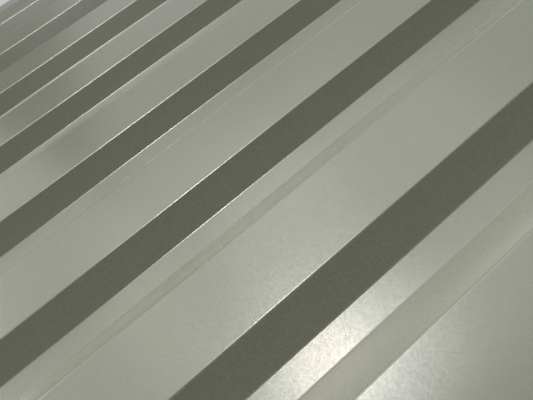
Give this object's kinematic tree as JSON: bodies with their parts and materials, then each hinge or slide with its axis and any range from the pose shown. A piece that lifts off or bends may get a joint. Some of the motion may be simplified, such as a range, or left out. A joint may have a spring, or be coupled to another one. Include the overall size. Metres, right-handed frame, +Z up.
{
  "type": "corrugated metal sheet",
  "caption": "Flat-lying trapezoidal corrugated steel sheet with wide crests, narrow valleys and a short upturned lap lip on each side, for wall and roof cladding.",
  "frame": {"origin": "underside of the middle valley, half way along the sheet, on the plane the sheet rests on", "axes": "+X across the ribs, +Y along the ribs, +Z up with the wide crests on top"},
  "size_m": [1.1546, 2, 0.018],
  "materials": {
    "painted_steel": "satin metallic coil coating, pale warm grey"
  },
  "bodies": {
    "root": {"corrugated_sheet": "painted_steel"}
  },
  "joints": []
}
